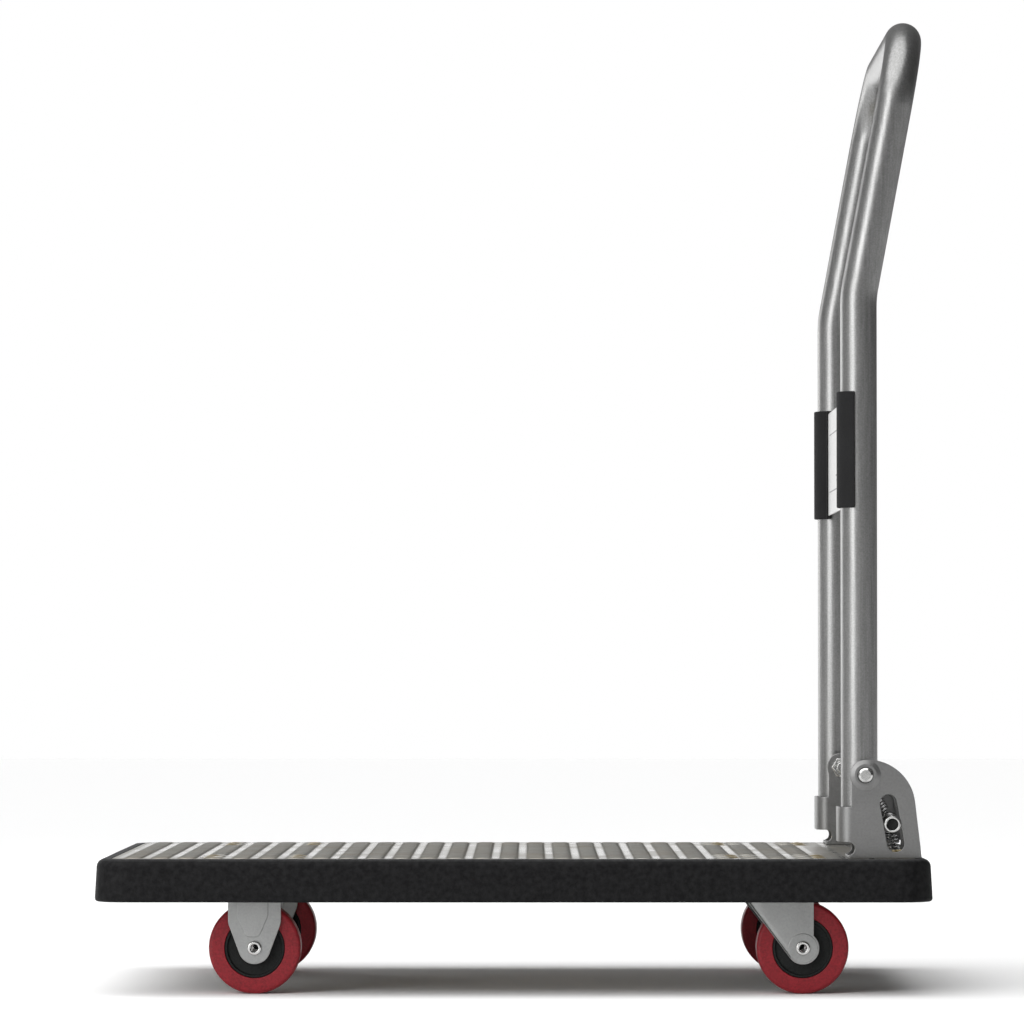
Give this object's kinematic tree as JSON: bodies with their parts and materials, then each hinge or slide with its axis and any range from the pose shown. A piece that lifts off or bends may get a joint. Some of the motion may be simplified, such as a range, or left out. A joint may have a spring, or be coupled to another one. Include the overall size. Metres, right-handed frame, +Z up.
{
  "type": "folding platform cart",
  "caption": "Folding platform cart: steel deck in a rubber bumper on rigid and swivel casters, with a bent tube handle that folds down when the release bar is pressed.",
  "frame": {"origin": "on the floor, under the middle of the deck", "axes": "+X towards the handle end, +Y to the right of a person pushing, +Z up"},
  "size_m": [0.725, 0.475, 0.8517],
  "materials": {
    "deck_steel": "bright embossed sheet",
    "bumper_rubber": "matt moulded",
    "bracket_steel": "satin pressed sheet",
    "caster_zinc": "matt zinc plated",
    "tube_steel": "satin",
    "bright_steel": "bright plated",
    "spring_steel": "drawn wire",
    "red_urethane": "cast, satin",
    "core_plastic": "moulded, grained",
    "bush_plastic": "moulded",
    "pad_rubber": "matt foamed",
    "plate_aluminium": "satin sheet"
  },
  "bodies": {
    "deck": {"deck_plate": "deck_steel", "bumper": "bumper_rubber", "front_cross_channel": "bracket_steel", "rear_cross_channel": "bracket_steel", "front_left_fork": "caster_zinc", "front_left_axle": "bright_steel", "rear_left_top_plate": "caster_zinc", "rear_left_ball_race": "bright_steel", "rear_left_kingpin": "bright_steel", "left_bracket": "bracket_steel", "left_pivot_bolt": "bright_steel", "left_pivot_nut": "bright_steel", "left_pivot_spacer": "bright_steel", "left_base_bolt_front": "bright_steel", "left_base_bolt_rear": "bright_steel", "left_base_nut_front": "bright_steel", "left_base_nut_rear": "bright_steel", "left_upper_spring": "spring_steel", "left_lower_spring": "spring_steel", "front_right_fork": "caster_zinc", "front_right_axle": "bright_steel", "rear_right_top_plate": "caster_zinc", "rear_right_ball_race": "bright_steel", "rear_right_kingpin": "bright_steel", "right_bracket": "bracket_steel", "right_pivot_bolt": "bright_steel", "right_pivot_nut": "bright_steel", "right_pivot_spacer": "bright_steel", "right_base_bolt_front": "bright_steel", "right_base_bolt_rear": "bright_steel", "right_base_nut_front": "bright_steel", "right_base_nut_rear": "bright_steel", "right_upper_spring": "spring_steel", "right_lower_spring": "spring_steel"},
    "handle": {"handle_tube": "tube_steel", "name_plate": "plate_aluminium", "left_leg_plug": "core_plastic", "left_pad": "pad_rubber", "right_leg_plug": "core_plastic", "right_pad": "pad_rubber"},
    "release_bar": {"release_bar": "tube_steel", "left_bar_clip": "spring_steel", "right_bar_clip": "spring_steel"},
    "rear_left_swivel": {"rear_left_fork": "caster_zinc", "rear_left_axle": "bright_steel"},
    "front_left_wheel": {"front_left_tyre": "red_urethane", "front_left_wheel_core": "core_plastic", "front_left_bush": "bush_plastic"},
    "rear_left_wheel": {"rear_left_tyre": "red_urethane", "rear_left_wheel_core": "core_plastic", "rear_left_bush": "bush_plastic"},
    "rear_right_swivel": {"rear_right_fork": "caster_zinc", "rear_right_axle": "bright_steel"},
    "front_right_wheel": {"front_right_tyre": "red_urethane", "front_right_wheel_core": "core_plastic", "front_right_bush": "bush_plastic"},
    "rear_right_wheel": {"rear_right_tyre": "red_urethane", "rear_right_wheel_core": "core_plastic", "rear_right_bush": "bush_plastic"}
  },
  "joints": [
    {"name": "handle_fold", "type": "hinge", "parent": "deck", "child": "handle", "pos_m": [0.3044, 0, 0.1903], "axis": [0, 1, 0], "range_deg": [-96, 0]},
    {"name": "release_slide", "type": "slide", "parent": "deck", "child": "release_bar", "axis": [0.1771, 0, -0.9842], "range_m": [0, 0.01], "stiffness_N_per_m": 1500, "springref_m": -0.01, "deforming": ["left_upper_spring", "left_lower_spring", "right_upper_spring", "right_lower_spring"]},
    {"name": "rear_left_swivel_turn", "type": "hinge", "parent": "deck", "child": "rear_left_swivel", "pos_m": [0.227, -0.172, 0.0931], "axis": [0, 0, 1], "continuous": true},
    {"name": "rear_left_wheel_spin", "type": "hinge", "parent": "rear_left_swivel", "child": "rear_left_wheel", "pos_m": [0.251, -0.172, 0.04], "axis": [0, 1, 0], "continuous": true},
    {"name": "front_left_wheel_spin", "type": "hinge", "parent": "deck", "child": "front_left_wheel", "pos_m": [-0.225, -0.172, 0.04], "axis": [0, 1, 0], "continuous": true},
    {"name": "rear_right_swivel_turn", "type": "hinge", "parent": "deck", "child": "rear_right_swivel", "pos_m": [0.227, 0.172, 0.0931], "axis": [0, 0, 1], "continuous": true},
    {"name": "rear_right_wheel_spin", "type": "hinge", "parent": "rear_right_swivel", "child": "rear_right_wheel", "pos_m": [0.251, 0.172, 0.04], "axis": [0, 1, 0], "continuous": true},
    {"name": "front_right_wheel_spin", "type": "hinge", "parent": "deck", "child": "front_right_wheel", "pos_m": [-0.225, 0.172, 0.04], "axis": [0, 1, 0], "continuous": true}
  ]
}
